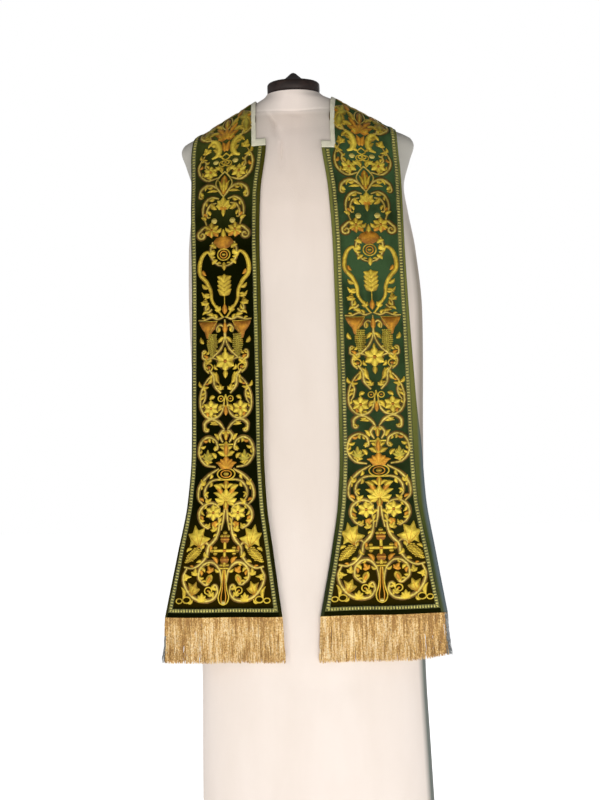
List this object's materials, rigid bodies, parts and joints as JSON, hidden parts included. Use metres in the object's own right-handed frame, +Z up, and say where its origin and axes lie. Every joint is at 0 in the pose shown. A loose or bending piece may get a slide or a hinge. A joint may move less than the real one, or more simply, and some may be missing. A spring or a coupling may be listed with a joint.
{
  "type": "clerical stole on a limbless dress form",
  "caption": "Wide green velvet stole with a notched neck, gold border braid and fringed flared hems, worn by a covered limbless dress form on a round base.",
  "frame": {"origin": "centre of the base's underside, on the floor", "axes": "+Z up, the stole's front faces -Y, +X is the wearer's left"},
  "size_m": [0.5385, 0.4, 1.62],
  "materials": {
    "green_velvet": "dark green cotton velvet, matte with a soft sheen, gold machine embroidery",
    "cream_binding": "cream cotton tape",
    "gold_braid": "narrow gold metallic braid with evenly set beads",
    "gold_fringe": "glittering light gold bullion fringe",
    "form_cover": "off-white jersey stretched over padding",
    "cap_wood": "dark stained, satin",
    "stand_metal": "black satin paint"
  },
  "bodies": {
    "root": {"stole_left": "green_velvet", "stole_right": "green_velvet", "neck_binding_left": "cream_binding", "neck_binding_right": "cream_binding", "border_braid_left": "gold_braid", "border_braid_right": "gold_braid", "fringe_left": "gold_fringe", "fringe_right": "gold_fringe", "form_body": "form_cover", "neck_cap": "cap_wood", "stand_pole": "stand_metal", "stand_base": "stand_metal"}
  },
  "joints": []
}
